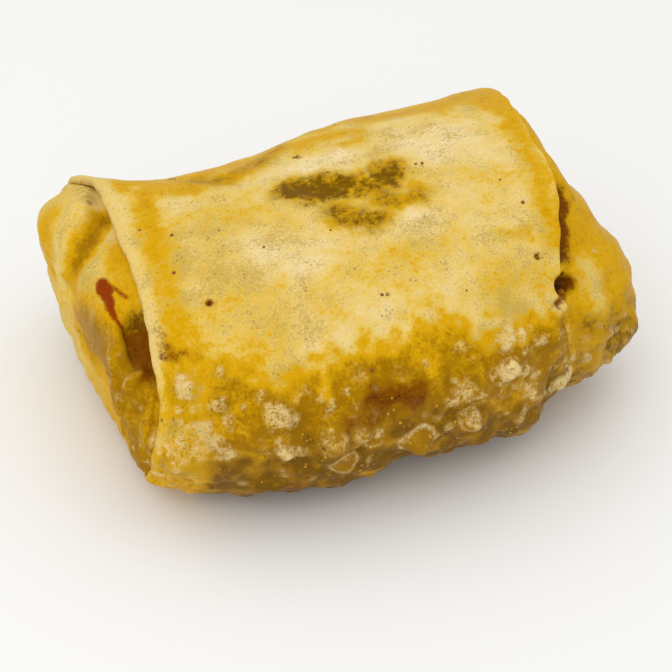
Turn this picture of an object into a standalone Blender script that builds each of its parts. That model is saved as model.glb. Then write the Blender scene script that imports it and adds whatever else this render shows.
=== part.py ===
"""A fried egg roll: a filled wrapper rolled up with its two sides folded in, as one closed solid.

X runs along the roll, Y across it and Z up. The origin is under the middle of the roll, on the
surface that it rests on. The skin is a single loft of rings round X. It starts in the middle of the
left end fold, runs outwards to the groove under the rim of the sleeve, turns round that rim, follows
the sleeve to the right rim, and closes over the right end fold in the same way. Sizes are in
millimetres. Angles go round the roll in degrees: 0 is the back, 90 the top, 180 the front and 270 the
underside.
"""

from collections import namedtuple

import bpy
import numpy as np
from mathutils import Vector, noise

for old in list(bpy.data.objects):
    bpy.data.objects.remove(old)

MM = 0.001

# The sleeve's size at its stations, which are cuts across it. Each row has one value for each station.
STATION_X = (-37.0, -28.0, -14.0, 2.0, 17.0, 31.0)
HALF_WIDTH = (31.8, 29.8, 30.8, 31.6, 31.2, 27.5)
TOP_HEIGHT = (31.7, 33.5, 35.1, 37.8, 39.3, 40.4)
UNDERSIDE = (0.8, -1.0, -0.7, 0.1, -0.2, 0.0)
MIDDLE_Y = (8.1, 0.9, -2.0, -0.2, 1.0, 4.6)
LEAN_DEG = (3.4, 5.9, 6.4, 6.3, 6.4, 7.1)
BOXINESS = 2.3
SHOULDER_INSET = 2.6

# The mesh: columns round the roll, crowded together near one angle, and rings along it.
COLUMNS = 80
CROWDED_AT = 200.0
CROWDING = 0.4
FOLD_RINGS = 13
LIP_RINGS = 3
SLEEVE_RINGS = 32

# An end: which way it faces, where its rim is and how the rim leans, how far towards -X the rim is notched or
# drawn out round one angle, how far inside the rim the fold is rooted, how far it swells past the rim in the
# middle and how much more towards the back and the top, how square its shoulders are, and the rim's
# thickness, its gap to the fold and the depth of that gap at each angle.
SHAPE = "side rim_x lean_y lean_z notch notch_at notch_wide root swell swell_back swell_up squareness"
End = namedtuple("End", SHAPE + " lip gap depth")


def bump(value, half_width):
    """1 at zero, falling smoothly to 0 at half_width and beyond."""
    t = np.clip(np.abs(value) / half_width, 0, 1)
    return (1 - t * t) ** 2


def ramp(value, start, end):
    """0 before start and 1 after end, smooth between."""
    t = np.clip((value - start) / (end - start), 0, 1)
    return t * t * (3 - 2 * t)


def turn(angle, middle):
    """Degrees from the middle angle, between -180 and 180."""
    return (angle - middle + 180) % 360 - 180


def along(values, x):
    """The value at x of the smooth curve through the stations' values."""
    xs, ys = np.array(STATION_X), np.array(values)
    slope = np.gradient(ys, xs)
    k = np.clip(np.searchsorted(xs, x) - 1, 0, len(xs) - 2)
    step = xs[k + 1] - xs[k]
    t = np.clip((x - xs[k]) / step, -0.5, 1.5)
    start = (2 * t**3 - 3 * t**2 + 1) * ys[k] + (t**3 - 2 * t**2 + t) * step * slope[k]
    end = (3 * t**2 - 2 * t**3) * ys[k + 1] + (t**3 - t**2) * step * slope[k + 1]
    return start + end


def section(x, angle, inset=0.0):
    """Points of the sleeve's cut at x, this far inside its outer face.

    Both ends curl up off the surface, and the left end's back corner flares upwards.
    """
    x, angle, inset = np.broadcast_arrays(x, angle, inset)
    half = along(HALF_WIDTH, x) - inset
    top, low = along(TOP_HEIGHT, x), along(UNDERSIDE, x)
    tall = (top - low) / 2 - inset
    lean = np.radians(along(LEAN_DEG, x))
    c, s = np.cos(np.radians(angle)), np.sin(np.radians(angle))
    u = half * np.sign(c) * np.abs(c) ** (2 / BOXINESS)
    w = tall * np.sign(s) * np.abs(s) ** (2 / BOXINESS)
    curled = (1.4 * ramp(x, 17, 27) + 0.8 * ramp(-x, 30, 36)) * bump(turn(angle, 272), 60)
    flared = ramp(-x, 20, 36) * bump(turn(angle, 15), 85)
    y = along(MIDDLE_Y, x) + u * np.cos(lean) - w * np.sin(lean) - 5.0 * flared
    z = (top + low) / 2 + u * np.sin(lean) + w * np.cos(lean) + curled + 3.5 * flared
    return np.stack([x, y, z], -1)


def left_opening(angle):
    """Where the left rim stands clear of its fold: under the top edge, and a hollow at the front."""
    return 0.5 * bump(turn(angle, 50), 45) + bump(turn(angle, 134), 26)


def left_lip(angle):
    return 1.3 + 0.4 * bump(turn(angle, 60), 60)


def left_gap(angle):
    return 0.5 + 1.5 * left_opening(angle)


def left_depth(angle):
    return 1.6 + 2.4 * left_opening(angle)


def right_opening(angle):
    """Where the right rim stands clear of its fold: a long slot, a small hole below it, and the back."""
    slot = ramp(angle, 103, 114) * (1 - ramp(angle, 133, 139))
    hole = bump(turn(angle, 147.5), 5.5)
    back = 0.5 * (1 - ramp(np.abs(turn(angle, 0)), 50, 80))
    return slot + hole + back


def right_lip(angle):
    return 0.35 + 0.55 * right_opening(angle)


def right_gap(angle):
    return 0.2 + 1.0 * right_opening(angle)


def right_depth(angle):
    return 0.5 + 2.5 * right_opening(angle)


LEFT = End(
    side=-1,
    rim_x=-36.4,
    lean_y=-0.03,
    lean_z=0.13,
    notch=1.4,
    notch_at=15,
    notch_wide=85,
    root=4.0,
    swell=5.8,
    swell_back=3.2,
    swell_up=3.5,
    squareness=3.6,
    lip=left_lip,
    gap=left_gap,
    depth=left_depth,
)
RIGHT = End(
    side=1,
    rim_x=29.2,
    lean_y=0.02,
    lean_z=0.085,
    notch=2.7,
    notch_at=152,
    notch_wide=46,
    root=3.0,
    swell=13.2,
    swell_back=-6.1,
    swell_up=-7.6,
    squareness=2.2,
    lip=right_lip,
    gap=right_gap,
    depth=right_depth,
)


def rim(end, angle, notched=1.0):
    """Where the rim lies along X at each angle, with this share of its notch or tongue."""
    edge = section(end.rim_x, angle)
    across = edge[..., 1] - along(MIDDLE_Y, end.rim_x)
    up = edge[..., 2] - along(TOP_HEIGHT, end.rim_x) / 2
    notch = notched * end.notch * bump(turn(angle, end.notch_at), end.notch_wide)
    return end.rim_x + end.lean_y * across + end.lean_z * up - notch


def spokes(end, angle, notched=1.0):
    """A fold's middle, the spokes from there to its root inside the rim, and how far it swells along each."""
    around = np.arange(0.0, 360.0, 3.0)
    ring = section(rim(end, around, 0.0) - end.side * end.root, around, SHOULDER_INSET)
    middle = ring.mean(axis=0)
    wide, high = np.abs(ring - middle).max(axis=0)[1:]
    spoke = section(rim(end, angle, notched) - end.side * end.root, angle, SHOULDER_INSET) - middle
    more = end.swell_back * spoke[..., 1] / wide + end.swell_up * spoke[..., 2] / high
    return middle, spoke, more


def fold(end, reach, angle):
    """Points of an end fold: reach is 0 in its middle and 1 at its root."""
    middle, spoke, more = spokes(end, angle, reach**4)
    rise = np.clip(1 - reach**end.squareness, 0, 1) ** (1 / end.squareness)
    points = middle + reach[..., None] * spoke
    points[..., 0] += end.side * (end.root + np.maximum(end.swell + reach * more, 0.5)) * rise

    # Beside the rim the fold follows the sleeve's inside, with only the gap between them.
    past_rim = (points[..., 0] - rim(end, angle)) * end.side
    beside = (1 - ramp(past_rim, 0, 5)) * ramp(reach, 0.6, 0.95)
    inside = section(points[..., 0], angle, end.lip(angle) + end.gap(angle))
    return points + (inside - points) * beside[..., None]


def fold_rings(end, angle):
    """The rings of an end fold, from its middle to the bottom of its groove, closest at the shoulder."""
    swell = np.maximum(end.swell + spokes(end, angle)[2], 0.5)
    rise = np.clip((end.root - end.depth(angle)) / (end.root + swell), 0, 1)
    last = np.arccos(rise ** (end.squareness / 2))
    return [fold(end, np.sin(last * k) ** (2 / end.squareness), angle) for k in np.linspace(0, 1, FOLD_RINGS)]


def lip_rings(end, angle):
    """The rings round a rim, from the groove over the rounded edge to the sleeve's outer face."""
    thick = end.lip(angle)
    steps = [(0.75 * end.depth(angle), thick), (thick / 2, thick)]
    for turned in np.linspace(0, np.pi, LIP_RINGS + 2)[1:-1]:
        steps.append((thick / 2 * (1 - np.sin(turned)), thick / 2 * (1 + np.cos(turned))))
    steps.append((thick / 2, 0.0))
    return [section(rim(end, angle) - end.side * back, angle, inset) for back, inset in steps]


def skin():
    """The plain skin as a grid of points, ring by ring, with each ring's zone and each column's angle."""
    even = np.arange(COLUMNS) * 360.0 / COLUMNS
    angle = even - np.degrees(CROWDING) * np.sin(np.radians(even - CROWDED_AT))
    left, right = rim(LEFT, angle) + LEFT.lip(angle), rim(RIGHT, angle) - RIGHT.lip(angle)
    zones = {
        "left fold": fold_rings(LEFT, angle),
        "left lip": lip_rings(LEFT, angle),
        "sleeve": [section(left + (right - left) * f, angle) for f in np.linspace(0, 1, SLEEVE_RINGS)],
        "right lip": lip_rings(RIGHT, angle)[::-1],
        "right fold": fold_rings(RIGHT, angle)[::-1],
    }
    names = [name for name, rings in zones.items() for _ in rings]
    return np.array([ring for rings in zones.values() for ring in rings]), np.array(names), angle


def outward(grid):
    """The outward direction at each point of the grid."""
    direction = np.cross(np.roll(grid, -1, 1) - np.roll(grid, 1, 1), np.gradient(grid, axis=0))
    direction /= np.maximum(np.linalg.norm(direction, axis=-1, keepdims=True), 1e-9)
    direction[0], direction[-1] = (-1, 0, 0), (1, 0, 0)
    return direction


def carried(values, grid, zone, angle):
    """The values, changed so that each rim, its groove and the fold beside it move as the sleeve does."""
    values = values.copy()
    for end, name, place in ((LEFT, "left", 1), (RIGHT, "right", -2)):
        sleeve = np.flatnonzero(zone == "sleeve")[place]
        rows = (zone == name + " fold") | (zone == name + " lip")
        past_rim = (grid[rows][..., 0] - rim(end, angle)) * end.side
        own = ramp(past_rim, 0.3, 3.0)[..., None]
        own[zone[rows] == name + " lip"] = 0
        values[rows] = values[rows] * own + values[sleeve] * (1 - own)
    return values


def away_from(points, path):
    """How far each point is from a path of straight runs, or from its one point."""
    nearest = np.linalg.norm(points - path[0], axis=-1)
    for start, end in zip(path[:-1], path[1:]):
        run = end - start
        part_way = np.clip((points - start) @ run / (run @ run), 0, 1)
        nearest = np.minimum(nearest, np.linalg.norm(points - start - part_way[..., None] * run, axis=-1))
    return nearest


def on_fold(end, places):
    """The points of an end fold at each reach and angle."""
    reach, around = np.array(places, float).T
    return fold(end, reach, around)


# Bubbles of the skin that stand out on the sleeve, and one dent: x, angle, radius and height.
BUBBLES = (
    (-32.9, 179, 5.2, 1.3),
    (-11.7, 176, 4.2, 1.4),
    (-7.6, 175, 2.4, 0.7),
    (1.5, 187, 3.0, 1.8),
    (-19.1, 157, 4.8, 0.6),
    (-18.9, 175, 2.4, 0.9),
    (-27.4, 166, 3.0, 0.8),
    (-27.5, 151, 2.2, 0.6),
    (-31.0, 146, 2.4, 0.6),
    (15.5, 166, 3.0, 1.0),
    (15.8, 154, 2.2, 0.6),
    (8.2, 170, 2.4, 0.7),
    (10.0, 183, 3.0, 0.9),
    (20.0, 181, 3.0, 1.0),
    (20.0, 203, 5.0, 1.3),
    (26.0, 188, 3.0, 0.8),
    (-33.5, 207, 8.0, 0.9),
    (-36.0, 38, 13.0, -1.3),
)

# The swells and creases of each end fold: width, height, and the reach and angle of each point along it.
CREASES = {
    "left fold": (
        (11.0, 1.8, ((0.94, 48),)),
        (2.6, -1.3, ((0.99, 77), (0.92, 82), (0.77, 85), (0.45, 80))),
        (3.0, 0.7, ((0.97, 68), (0.87, 76), (0.6, 70))),
        (2.2, 0.5, ((0.98, 88), (0.93, 96))),
        (2.0, -0.5, ((0.95, 95), (0.92, 107), (0.94, 120))),
        (4.2, -1.8, ((0.97, 122), (0.97, 138))),
        (1.8, 1.0, ((0.96, 138), (0.92, 143), (0.82, 150))),
        (1.8, 0.8, ((0.7, 139), (0.62, 156), (0.68, 172))),
        (2.4, -0.8, ((0.8, 140), (0.74, 153), (0.8, 165), (0.84, 185))),
    ),
    "right fold": (
        (5.0, 1.2, ((0.8, 186),)),
        (9.0, 0.8, ((0.7, 145),)),
    ),
}


def small_bubbles():
    """The centre, radius and height of each small bubble of the lower front."""
    rng = np.random.default_rng(23)
    on_sleeve = section(rng.uniform(-34, 27, 40), rng.normal(190, 26, 40))
    on_right_fold = fold(RIGHT, rng.uniform(0.8, 0.99, 8), rng.uniform(165, 235, 8))
    centres = np.concatenate([on_sleeve, on_right_fold])
    radii = rng.uniform(2.0, 3.2, len(centres))
    return zip(centres, radii, radii * rng.uniform(0.12, 0.25, len(centres)))


def lumps(points, angle):
    """Slow swells of the filling under the skin, with a shorter ripple low at the front."""
    from_front = turn(angle, 180)
    ripple = 0.15 + 0.5 * ramp(from_front, -45, -15) * (1 - ramp(from_front, 60, 110))
    swell = np.empty(points.shape[:2])
    for i, ring in enumerate(points):
        for j, point in enumerate(ring):
            slow, short = noise.noise(Vector(point / 13.0)), noise.noise(Vector(point / 4.5 + 20.0))
            swell[i, j] = 0.75 * slow + ripple[j] * short
    return swell


def wrapper_flap(points, angle):
    """The wrapper's last corner, stuck over the back from below: a low step along its two edges."""
    edge = 372 - 1.05 * np.abs(points[..., 0] + 2)
    inside = np.radians(turn(edge, angle)) * 23
    return 1.0 * ramp(inside, -0.8, 0.8) * (1 - ramp(inside, 4, 18))


def front_petal(points, angle):
    """A tongue of the wrapper that laps over the left fold, low at the front beside the rim."""
    past_rim = rim(LEFT, angle) - points[..., 0]
    tongue = 3.4 * bump(turn(angle, 180), 36)
    return 0.8 * ramp(tongue - past_rim, -0.4, 0.6) * (tongue > 0)


def relief(grid, zone, angle):
    """How far the skin is raised at each point of the grid."""
    points = carried(grid, grid, zone, angle)
    height = lumps(points, angle)
    for x, around, radius, tall in BUBBLES:
        height += tall * bump(away_from(points, section([x], around)), radius)
    for centre, radius, tall in small_bubbles():
        height += tall * bump(away_from(points, [centre]), radius)
    height += wrapper_flap(points, angle)

    for end, name in ((LEFT, "left fold"), (RIGHT, "right fold")):
        rows = zone == name
        raised, sunk = np.zeros(grid[rows].shape[:2]), np.zeros(grid[rows].shape[:2])
        if end is LEFT:
            raised += front_petal(grid[rows], angle)
        for width, tall, places in CREASES[name]:
            crease = tall * bump(away_from(grid[rows], on_fold(end, places)), width)
            raised += np.maximum(crease, 0)
            sunk += np.minimum(crease, 0)
        past_rim = (grid[rows][..., 0] - rim(end, angle)) * end.side
        height[rows] += raised * ramp(past_rim, 0.2, 1.4) + sunk
    return height


def solid_from(grid, name):
    """A mesh object from the grid, with one point at each end in place of the first and last rings."""
    rings, columns = grid.shape[0] - 2, grid.shape[1]
    points = np.concatenate([grid[0, :1], grid[1:-1].reshape(-1, 3), grid[-1, :1]]) * MM
    faces = []
    for j in range(columns):
        k = (j + 1) % columns
        faces.append((0, 1 + k, 1 + j))
        for near in range(1, 1 + (rings - 1) * columns, columns):
            far = near + columns
            faces.append((near + j, near + k, far + k, far + j))
        near = 1 + (rings - 1) * columns
        faces.append((near + j, near + k, len(points) - 1))
    mesh = bpy.data.meshes.new(name)
    mesh.from_pydata(points.tolist(), [], faces)
    mesh.shade_smooth()
    solid = bpy.data.objects.new(name, mesh)
    bpy.context.scene.collection.objects.link(solid)
    return solid


def fried_skin(name, color, roughness):
    """The golden skin's material."""
    material = bpy.data.materials.new(name)
    material.use_nodes = True
    shader = material.node_tree.nodes["Principled BSDF"]
    shader.inputs["Base Color"].default_value = (*color, 1)
    shader.inputs["Roughness"].default_value = roughness
    shader.inputs["Metallic"].default_value = 0
    return material


# How far the finished skin is moved, so that its box is centred.
TO_CENTRE = (0.107, -1.139, 0.0)

grid, zone, angle = skin()
away = carried(outward(grid), grid, zone, angle)
grid = grid + away * relief(grid, zone, angle)[..., None] + TO_CENTRE
grid[..., 2] = np.maximum(grid[..., 2], 0)
egg_roll = solid_from(grid, "egg_roll")
egg_roll.data.materials.append(fried_skin("fried_wrapper", (0.62, 0.38, 0.11), 0.45))
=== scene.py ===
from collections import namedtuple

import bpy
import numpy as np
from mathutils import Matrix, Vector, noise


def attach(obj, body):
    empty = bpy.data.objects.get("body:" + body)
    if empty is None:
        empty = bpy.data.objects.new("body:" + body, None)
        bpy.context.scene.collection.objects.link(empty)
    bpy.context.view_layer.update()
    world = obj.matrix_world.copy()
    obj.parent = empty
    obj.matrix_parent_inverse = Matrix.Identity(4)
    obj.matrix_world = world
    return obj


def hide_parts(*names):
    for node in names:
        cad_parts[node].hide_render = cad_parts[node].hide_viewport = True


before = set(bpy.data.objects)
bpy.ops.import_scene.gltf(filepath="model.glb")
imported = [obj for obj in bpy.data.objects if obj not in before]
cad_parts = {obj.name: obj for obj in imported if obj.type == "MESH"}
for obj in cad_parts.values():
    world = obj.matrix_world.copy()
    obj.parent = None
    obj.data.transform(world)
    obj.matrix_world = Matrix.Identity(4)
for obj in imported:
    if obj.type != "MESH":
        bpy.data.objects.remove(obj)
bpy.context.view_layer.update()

# A fried egg roll. X runs along it from the end with the thick open rim to the plump end, Y goes from the
# blistered front to the back, and Z is up. Lengths are in millimetres until a mesh is made. Angles go round
# the roll in degrees: 0 is the back, 90 the top, 180 the front and 270 the underside.

MM = 0.001


# The view: a pale floor under soft studio light, seen from the photograph's side and height. The camera
# looks down on the blistered front and the left end through a long lens.

FLOOR_COLOR = (0.88, 0.88, 0.865)
FLOOR_REACH = 4.0
FLOOR_DROP = 0.00005
AIM = Vector((-1.063, 0.661, 8.82)) * MM
VIEW_TURN = np.radians(16.55)
VIEW_HEIGHT = np.radians(36.34)
VIEW_DISTANCE = 0.30604
VIEW_ANGLE = np.radians(20.0)

level = np.cos(VIEW_HEIGHT)
towards = Vector((-np.sin(VIEW_TURN) * level, -np.cos(VIEW_TURN) * level, np.sin(VIEW_HEIGHT)))
lens = bpy.data.cameras.new("camera")
lens.angle = VIEW_ANGLE
lens.clip_start = 0.01
camera = bpy.data.objects.new("camera", lens)
camera.location = AIM + towards * VIEW_DISTANCE
camera.rotation_euler = (-towards).to_track_quat("-Z", "Y").to_euler()
bpy.context.scene.collection.objects.link(camera)
bpy.context.scene.camera = camera

paint = bpy.data.materials.new("floor_paint")
paint.use_nodes = True
paint.node_tree.nodes["Principled BSDF"].inputs["Base Color"].default_value = (*FLOOR_COLOR, 1)
paint.node_tree.nodes["Principled BSDF"].inputs["Roughness"].default_value = 0.55
corners = [(x * FLOOR_REACH, y * FLOOR_REACH, -FLOOR_DROP) for x, y in ((-1, -1), (1, -1), (1, 1), (-1, 1))]
floor_mesh = bpy.data.meshes.new("floor")
floor_mesh.from_pydata(corners, [], [(0, 1, 2, 3)])
floor_mesh.materials.append(paint)
floor = bpy.data.objects.new("floor", floor_mesh)
bpy.context.scene.collection.objects.link(floor)


def soft_light(name, place, size, watts):
    """A square light panel that faces the roll."""
    panel = bpy.data.lights.new(name, "AREA")
    panel.shape = "SQUARE"
    panel.size = size
    panel.energy = watts
    light = bpy.data.objects.new(name, panel)
    light.location = place
    light.rotation_euler = (-Vector(place)).to_track_quat("-Z", "Y").to_euler()
    bpy.context.scene.collection.objects.link(light)


soft_light("overhead_panel", (-0.08, 0.02, 0.60), 0.95, 1.35)
soft_light("front_panel", (-0.35, -0.55, 0.50), 0.70, 1.45)
studio = bpy.data.worlds.new("studio")
studio.use_nodes = True
studio.node_tree.nodes["Background"].inputs["Color"].default_value = (1, 1, 1, 1)
studio.node_tree.nodes["Background"].inputs["Strength"].default_value = 0.78
bpy.context.scene.world = studio
bpy.context.scene.view_settings.view_transform = "Standard"


# The sleeve: one sheet of egg dough wound round the filling into a squat oval tube, with an open rim at
# each end. It is a loft of rings round X, set by cuts at a few stations.

STATION_X = (-37.0, -28.0, -14.0, 2.0, 17.0, 31.0)
HALF_WIDTH = (31.8, 29.8, 30.8, 31.6, 31.2, 27.5)
TOP_HEIGHT = (31.7, 33.5, 35.1, 37.8, 39.3, 40.4)
UNDERSIDE = (0.8, -1.0, -0.7, 0.1, -0.2, 0.0)
MIDDLE_Y = (8.1, 0.9, -2.0, -0.2, 1.0, 4.6)
LEAN_DEG = (3.4, 5.9, 6.4, 6.3, 6.4, 7.1)
BOXINESS = 2.3
SHOULDER_INSET = 2.6
COLUMNS = 512
CROWDED_AT = 195.0
CROWDING = 0.4
SLEEVE_RINGS = 164
LIP_RINGS = 5
FOLD_RINGS = 120
# An end fold's usual length and height, and the steps along it, by which its rings are spaced evenly.
USUAL_SPOKE = 28
USUAL_SWELL = 10
BEND_STEPS = 400
# How far the part is moved so that it lies over the middle of its frame.
TO_CENTRE = (0.107, -1.139, 0.0)


def bump(value, half_width):
    """1 at zero, falling smoothly to 0 at half_width and beyond."""
    t = np.clip(np.abs(value) / half_width, 0, 1)
    return (1 - t * t) ** 2


def ramp(value, start, end):
    """0 before start and 1 after end, smooth between."""
    t = np.clip((value - start) / (end - start), 0, 1)
    return t * t * (3 - 2 * t)


def turn(angle, middle):
    """Degrees from the middle angle, between -180 and 180."""
    return (angle - middle + 180) % 360 - 180


def along(values, x):
    """The value at x of the smooth curve through the stations' values."""
    xs, ys = np.array(STATION_X), np.array(values)
    slope = np.gradient(ys, xs)
    k = np.clip(np.searchsorted(xs, x) - 1, 0, len(xs) - 2)
    step = xs[k + 1] - xs[k]
    t = np.clip((x - xs[k]) / step, -0.5, 1.5)
    start = (2 * t**3 - 3 * t**2 + 1) * ys[k] + (t**3 - 2 * t**2 + t) * step * slope[k]
    end = (3 * t**2 - 2 * t**3) * ys[k + 1] + (t**3 - t**2) * step * slope[k + 1]
    return start + end


def section(x, angle, inset=0.0):
    """Points of the sleeve's cut at x, this far inside its outer face.

    Both ends curl up off the surface, and the left end's back corner flares upwards.
    """
    x, angle, inset = np.broadcast_arrays(x, angle, inset)
    half = along(HALF_WIDTH, x) - inset
    top, low = along(TOP_HEIGHT, x), along(UNDERSIDE, x)
    tall = (top - low) / 2 - inset
    lean = np.radians(along(LEAN_DEG, x))
    c, s = np.cos(np.radians(angle)), np.sin(np.radians(angle))
    u = half * np.sign(c) * np.abs(c) ** (2 / BOXINESS)
    w = tall * np.sign(s) * np.abs(s) ** (2 / BOXINESS)
    curled = (1.4 * ramp(x, 17, 27) + 0.8 * ramp(-x, 30, 36)) * bump(turn(angle, 272), 60)
    flared = ramp(-x, 20, 36) * bump(turn(angle, 15), 85)
    y = along(MIDDLE_Y, x) + u * np.cos(lean) - w * np.sin(lean) - 5.0 * flared
    z = (top + low) / 2 + u * np.sin(lean) + w * np.cos(lean) + curled + 3.5 * flared
    return np.stack([x, y, z], -1)


def left_opening(angle):
    """Where the left rim stands clear of its fold, round a hollow at the front."""
    return bump(turn(angle, 134), 26)


def left_lip(angle):
    """How thick the left rim is."""
    return 1.3 + 0.4 * bump(turn(angle, 60), 60)


def left_gap(angle):
    """How wide the groove between the left rim and its fold is."""
    return 0.12 + 1.88 * left_opening(angle)


def left_depth(angle):
    """How deep the groove at the left rim is."""
    return 1.6 + 2.4 * left_opening(angle)


def right_opening(angle):
    """Where the right rim stands clear of its fold: a long slot, a small hole below it, and the back."""
    slot = ramp(angle, 103, 114) * (1 - ramp(angle, 133, 139))
    hole = bump(turn(angle, 147.5), 5.5)
    back = 0.5 * (1 - ramp(np.abs(turn(angle, 0)), 50, 80))
    return slot + hole + back


def right_lip(angle):
    """How thick the right rim is."""
    return 0.35 + 0.55 * right_opening(angle)


def right_gap(angle):
    """How wide the groove between the right rim and its fold is."""
    return 0.2 + 1.6 * right_opening(angle)


def right_depth(angle):
    """How deep the groove at the right rim is."""
    return 0.5 + 3.0 * right_opening(angle)


# An end of the roll: how its rim lies and where it is notched, how its fold swells, and its rim's shape.
SHAPE = "side rim_x lean_y lean_z notch notch_at notch_wide root swell swell_back swell_up squareness"
End = namedtuple("End", SHAPE + " lip gap depth ragged")
LEFT = End(
    side=-1,
    rim_x=-36.4,
    lean_y=-0.03,
    lean_z=0.13,
    notch=1.4,
    notch_at=15,
    notch_wide=85,
    root=4.0,
    swell=5.8,
    swell_back=3.2,
    swell_up=3.5,
    squareness=3.6,
    lip=left_lip,
    gap=left_gap,
    depth=left_depth,
    ragged=0.12,
)
RIGHT = End(
    side=1,
    rim_x=29.2,
    lean_y=0.02,
    lean_z=0.085,
    notch=2.7,
    notch_at=152,
    notch_wide=46,
    root=3.0,
    swell=13.2,
    swell_back=-6.1,
    swell_up=-7.6,
    squareness=2.2,
    lip=right_lip,
    gap=right_gap,
    depth=right_depth,
    ragged=0.22,
)


def rim(end, angle, notched=1.0):
    """Where the rim lies along X at each angle, with this share of its notch or tongue."""
    edge = section(end.rim_x, angle)
    across = edge[..., 1] - along(MIDDLE_Y, end.rim_x)
    up = edge[..., 2] - along(TOP_HEIGHT, end.rim_x) / 2
    notch = notched * end.notch * bump(turn(angle, end.notch_at), end.notch_wide)
    around = np.radians(angle)
    wavering = np.sin(7 * around + 1) + 0.8 * np.sin(19 * around) * np.cos(4 * around)
    wavering += 0.4 * np.sin(37 * around + 2)
    return end.rim_x + end.lean_y * across + end.lean_z * up - notch + end.ragged * notched * wavering


def lip_rings(end, angle):
    """The rings round a rim, from deep in its groove over the rounded edge to the sleeve's outer face."""
    thick = end.lip(angle)
    steps = [(end.depth(angle) + 3.0, thick)]
    steps += [(thick / 2 + (end.depth(angle) + 1) * share, thick) for share in (0.8, 0.5, 0.25, 0.0)]
    for turned in np.linspace(0, np.pi, LIP_RINGS + 2)[1:-1]:
        steps.append((thick / 2 * (1 - np.sin(turned)), thick / 2 * (1 + np.cos(turned))))
    steps.append((thick / 2, 0.0))
    return [section(rim(end, angle) - end.side * back, angle, inset) for back, inset in steps]


# The end folds: the wrapper's two sides, folded in over the filling before it was rolled up. Each shows
# inside a rim as a skin that swells out from a groove behind the rim, with pleats where it was gathered.


def spokes(end, angle, notched=1.0):
    """A fold's middle, the spokes from there to its root inside the rim, and how far it swells along each."""
    around = np.arange(0.0, 360.0, 3.0)
    ring = section(rim(end, around, 0.0) - end.side * end.root, around, SHOULDER_INSET)
    middle = ring.mean(axis=0)
    wide, high = np.abs(ring - middle).max(axis=0)[1:]
    spoke = section(rim(end, angle, notched) - end.side * end.root, angle, SHOULDER_INSET) - middle
    more = end.swell_back * spoke[..., 1] / wide + end.swell_up * spoke[..., 2] / high
    return middle, spoke, more


def fold(end, reach, angle):
    """Points of an end fold: reach is 0 in its middle and 1 at its root."""
    middle, spoke, more = spokes(end, angle, reach**4)
    rise = np.clip(1 - reach**end.squareness, 0, 1) ** (1 / end.squareness)
    points = middle + reach[..., None] * spoke
    points[..., 0] += end.side * (end.root + np.maximum(end.swell + reach * more, 0.5)) * rise

    # Beside the rim the fold follows the sleeve's inside, with only the gap between them.
    past_rim = (points[..., 0] - rim(end, angle)) * end.side
    beside = (1 - ramp(past_rim, 0, 5)) * ramp(reach, 0.6, 0.95)
    inside = section(points[..., 0], angle, end.lip(angle) + end.gap(angle))
    return points + (inside - points) * beside[..., None]


def fold_rings(end, angle):
    """The rings of an end fold at even steps from its middle to the bottom of its groove."""
    swell = np.maximum(end.swell + spokes(end, angle)[2], 0.5)
    rise = np.clip((end.root - end.depth(angle)) / (end.root + swell), 0, 1)
    last = np.arccos(rise ** (end.squareness / 2))
    bends = np.linspace(0, np.pi / 2, BEND_STEPS)
    out = USUAL_SPOKE * np.sin(bends) ** (2 / end.squareness)
    up = USUAL_SWELL * np.cos(bends) ** (2 / end.squareness)
    travelled = np.concatenate([[0], np.cumsum(np.hypot(np.diff(out), np.diff(up)))])
    whole = np.interp(last, bends, travelled)
    bent = [np.interp(whole * k, travelled, bends) for k in np.linspace(0, 1, FOLD_RINGS)]
    return [fold(end, np.sin(each) ** (2 / end.squareness), angle) for each in bent]


def skin():
    """The plain skin as a grid of points, ring by ring, with each ring's zone and each column's angle."""
    even = np.arange(COLUMNS) * 360.0 / COLUMNS
    angle = even - np.degrees(CROWDING) * np.sin(np.radians(even - CROWDED_AT))
    left, right = rim(LEFT, angle) + LEFT.lip(angle), rim(RIGHT, angle) - RIGHT.lip(angle)
    zones = {
        "left fold": fold_rings(LEFT, angle),
        "left lip": lip_rings(LEFT, angle),
        "sleeve": [section(left + (right - left) * f, angle) for f in np.linspace(0, 1, SLEEVE_RINGS)],
        "right lip": lip_rings(RIGHT, angle)[::-1],
        "right fold": fold_rings(RIGHT, angle)[::-1],
    }
    names = [name for name, rings in zones.items() for _ in rings]
    return np.array([ring for rings in zones.values() for ring in rings]), np.array(names), angle


def outward(grid):
    """The outward direction at each point of the grid."""
    direction = np.cross(np.roll(grid, -1, 1) - np.roll(grid, 1, 1), np.gradient(grid, axis=0))
    direction /= np.maximum(np.linalg.norm(direction, axis=-1, keepdims=True), 1e-9)
    direction[0], direction[-1] = (-1, 0, 0), (1, 0, 0)
    return direction


def carried(values, grid, zone, angle, how_far=3.0):
    """The values, changed so that each rim, its groove and the fold beside it move as the sleeve does."""
    values = values.copy()
    for end, name, place in ((LEFT, "left", 1), (RIGHT, "right", -2)):
        sleeve = np.flatnonzero(zone == "sleeve")[place]
        rows = (zone == name + " fold") | (zone == name + " lip")
        past_rim = (grid[rows][..., 0] - rim(end, angle)) * end.side
        own = ramp(past_rim, 0.2, how_far)[..., None]
        own[zone[rows] == name + " lip"] = 0
        values[rows] = values[rows] * own + values[sleeve] * (1 - own)
    return values


# The skin's relief: the dough blistered in the hot oil, most of all low at the front, and it shrank over
# the filling. Bubbles, dents, pleats and ripples are heights that the plain skin is raised by.

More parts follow.
